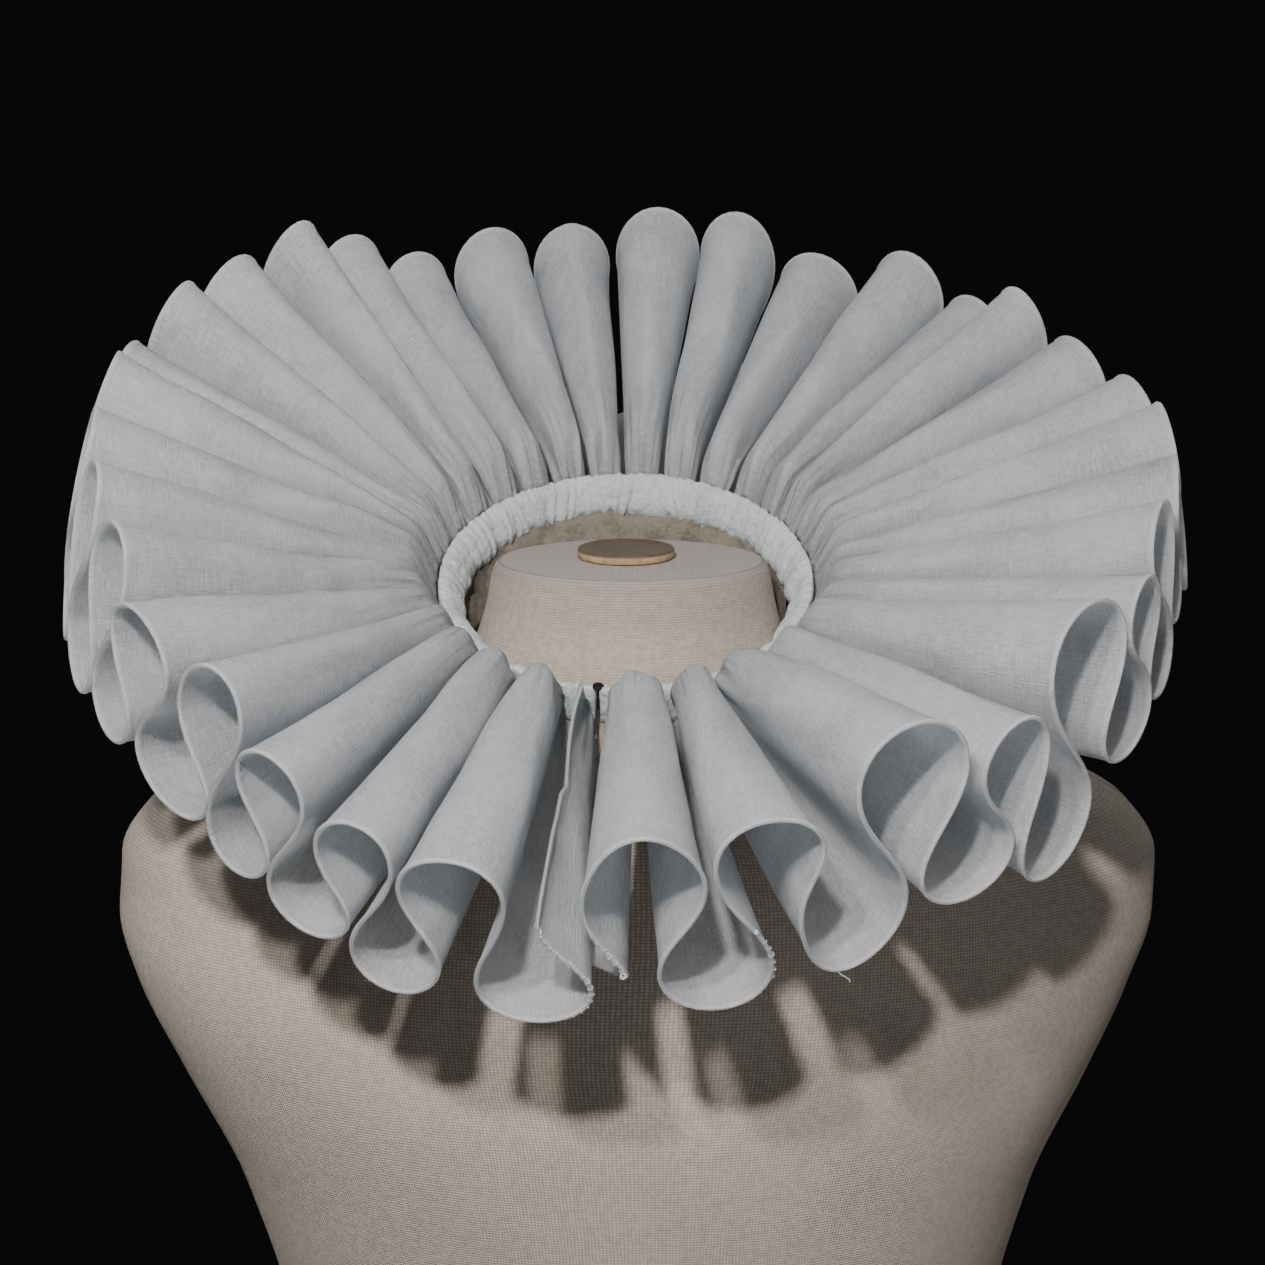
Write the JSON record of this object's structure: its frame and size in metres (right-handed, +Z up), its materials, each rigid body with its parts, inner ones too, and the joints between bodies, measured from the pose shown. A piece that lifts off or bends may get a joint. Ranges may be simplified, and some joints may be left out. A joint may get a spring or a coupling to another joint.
{
  "type": "ruff collar on a limbless dress form",
  "caption": "Round pleated linen neck ruff set in large figure-of-eight flutes, open at the front, on a limbless dress form.",
  "frame": {"origin": "centre of the dress form's flat base", "axes": "+Z up through the neck, -Y the front with the ruff's opening, +X the viewer's right"},
  "size_m": [0.4399, 0.4388, 0.7537],
  "materials": {
    "linen": "fine plain-weave linen, starched, cool white",
    "band_linen": "padded linen band, puckered",
    "black_pin": "black pin head",
    "form_cover": "beige plain-weave cover over a hard form",
    "wood": "plain turned wood"
  },
  "bodies": {
    "root": {"ruff_left": "linen", "ruff_right": "linen", "neckband": "band_linen", "pin": "black_pin", "dress_form": "form_cover", "neck_disc": "wood"}
  },
  "joints": []
}
